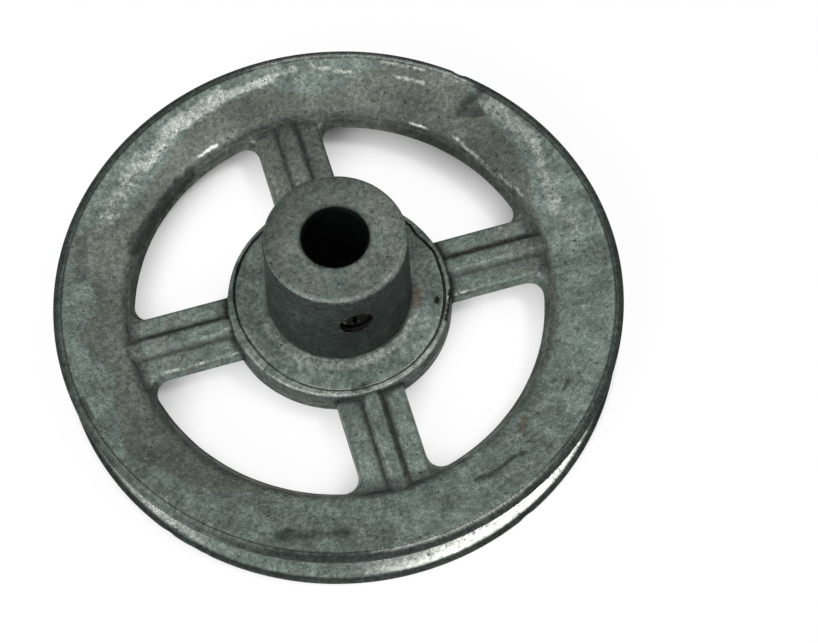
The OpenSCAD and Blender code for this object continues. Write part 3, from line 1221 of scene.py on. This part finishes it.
    def height(self):
        return self.plus(self.plus(self.times(self.grain, 0.35), self.mottle, 1.0), self.pits, -0.6)


def cast_zinc():
    zinc = CastZinc()
    colour = zinc.mix(1.0, zinc.worn_and_highlit(zinc.dirty_and_shaded()), zinc.shade(), "MULTIPLY")
    zinc.link(zinc.shader, "Specular IOR Level", zinc.gloss())
    return zinc.finish(colour, zinc.roughness(), zinc.metallic(), zinc.height(), 0.16)


def black_steel():
    steel = Paint("black_steel")
    grain = steel.noise(0.5, 4, 0.6)
    colour = steel.mix(steel.ramp(steel.noise(2.0, 3, 0.6), 0.35, 0.65), BLACK_STEEL, BROWN_STEEL)
    # Bare steel on the edges, with painted glints
    colour = steel.mix(steel.marked("edge", grain, 0.6, 0.6, 1.2), colour, BARE_AND_GLINT_STEEL)
    colour = steel.cover(colour, STEEL_RUST, steel.ramp(grain, 0.55, 0.75), 0.5)
    return steel.finish(colour, steel.ramp(grain, 0.3, 0.7, 0.35, 0.6), 0.9, grain, 0.05)


# ---------- stage


CAMERA_LENS = 78.22
CAMERA_PIVOT = Vector((0, 0, RIM_W))
CAMERA_DISTANCE = 376.44
CAMERA_AZIMUTH = math.radians(-102)
CAMERA_ELEVATION = math.radians(63.07)
CAMERA_AIM = Vector((11.93, -11.83, RIM_W))
CAMERA_ROLL = math.radians(0.14)


def towards(azimuth, elevation):
    """The direction of length 1 with those angles, azimuth being 0 towards +X."""
    level = math.cos(elevation)
    return Vector((level * math.cos(azimuth), level * math.sin(azimuth), math.sin(elevation)))


def make_camera():
    place = CAMERA_PIVOT + towards(CAMERA_AZIMUTH, CAMERA_ELEVATION) * CAMERA_DISTANCE
    data = bpy.data.cameras.new("camera")
    data.lens = CAMERA_LENS
    data.clip_start, data.clip_end = 0.01, 10
    camera = add_to_scene("camera", data)
    camera.location = place * MM
    camera.rotation_euler = (CAMERA_AIM - place).to_track_quat("-Z", "Y").to_euler()
    camera.rotation_euler.rotate_axis("Z", CAMERA_ROLL)
    bpy.context.scene.camera = camera


# How white the open floor looks, how far from the object it is shaded, and half its side in metres
FLOOR_WHITE = 0.95
FLOOR_SHADE_REACH = 14
FLOOR_REACH = 3.0


def floor_material():
    """Paper that the camera sees, directly or reflected, as plain white that is shaded near the object."""
    material = bpy.data.materials.new("floor")
    nodes = Nodes(material)
    paper = nodes.fill(nodes.tree.nodes["Principled BSDF"], Base_Color=(0.9, 0.9, 0.9), Roughness=0.9)
    near = nodes.node("ShaderNodeAmbientOcclusion", Distance=FLOOR_SHADE_REACH * MM)
    white = nodes.ramp(near.outputs["AO"], 0.2, 0.75, 0.0, FLOOR_WHITE, "LINEAR")
    path = nodes.node("ShaderNodeLightPath").outputs
    seen = nodes.math("MAXIMUM", path["Is Camera Ray"], path["Is Glossy Ray"])
    both = nodes.node("ShaderNodeMixShader", Fac=nodes.math("MULTIPLY", seen, white))
    nodes.link(both, 1, paper.outputs[0])
    nodes.link(both, 2, nodes.node("ShaderNodeEmission").outputs[0])
    nodes.fill(nodes.tree.nodes["Material Output"], Surface=both.outputs[0])
    return material


def make_floor():
    mesh = bpy.data.meshes.new("floor")
    corners = [(x * FLOOR_REACH, y * FLOOR_REACH, 0) for x, y in ((-1, -1), (1, -1), (1, 1), (-1, 1))]
    mesh.from_pydata(corners, [], [(0, 1, 2, 3)])
    floor = add_to_scene("floor", mesh)
    mesh.materials.append(floor_material())


def make_light(name, azimuth, elevation, distance, size, power):
    """A round lamp that points at the object. Angles in degrees, lengths in metres, power in watts."""
    data = bpy.data.lights.new(name, "AREA")
    data.shape, data.size, data.energy = "DISK", size, power
    lamp = add_to_scene(name, data)
    lamp.location = towards(math.radians(azimuth), math.radians(elevation)) * distance
    lamp.rotation_euler = (-lamp.location).to_track_quat("-Z", "Y").to_euler()


WALL_LIGHT = 0.1
CEILING_LIGHT = 0.55


def make_world():
    """Light from a pale ceiling that fades towards the walls. The camera sees plain white."""
    world = bpy.data.worlds.new("world")
    bpy.context.scene.world = world
    nodes = Nodes(world)
    way = nodes.node("ShaderNodeSeparateXYZ", Vector=nodes.node("ShaderNodeTexCoord").outputs["Generated"])
    light = nodes.ramp(way.outputs["Z"], 0.1, 1.0, WALL_LIGHT, CEILING_LIGHT)
    seen = nodes.node("ShaderNodeLightPath").outputs["Is Camera Ray"]
    strength = nodes.node("ShaderNodeMix", Factor=seen, A=light, B=1.0).outputs["Result"]
    nodes.fill(nodes.tree.nodes["Background"], Color=(1, 1, 1), Strength=strength)


# ---------- the scene

bpy.context.scene.view_settings.view_transform = "Standard"
make_camera()
make_world()
make_light("key", azimuth=-30, elevation=66, distance=1.3, size=0.3, power=5.5)
make_light("left", azimuth=-139, elevation=38, distance=1.2, size=0.8, power=13)
make_floor()

body = casting()
body.data.materials.append(cast_zinc())
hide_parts("pulley_casting")
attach(body, "pulley")

grub = screw()
grub.data.materials.append(black_steel())
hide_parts("set_screw")
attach(grub, "screw")
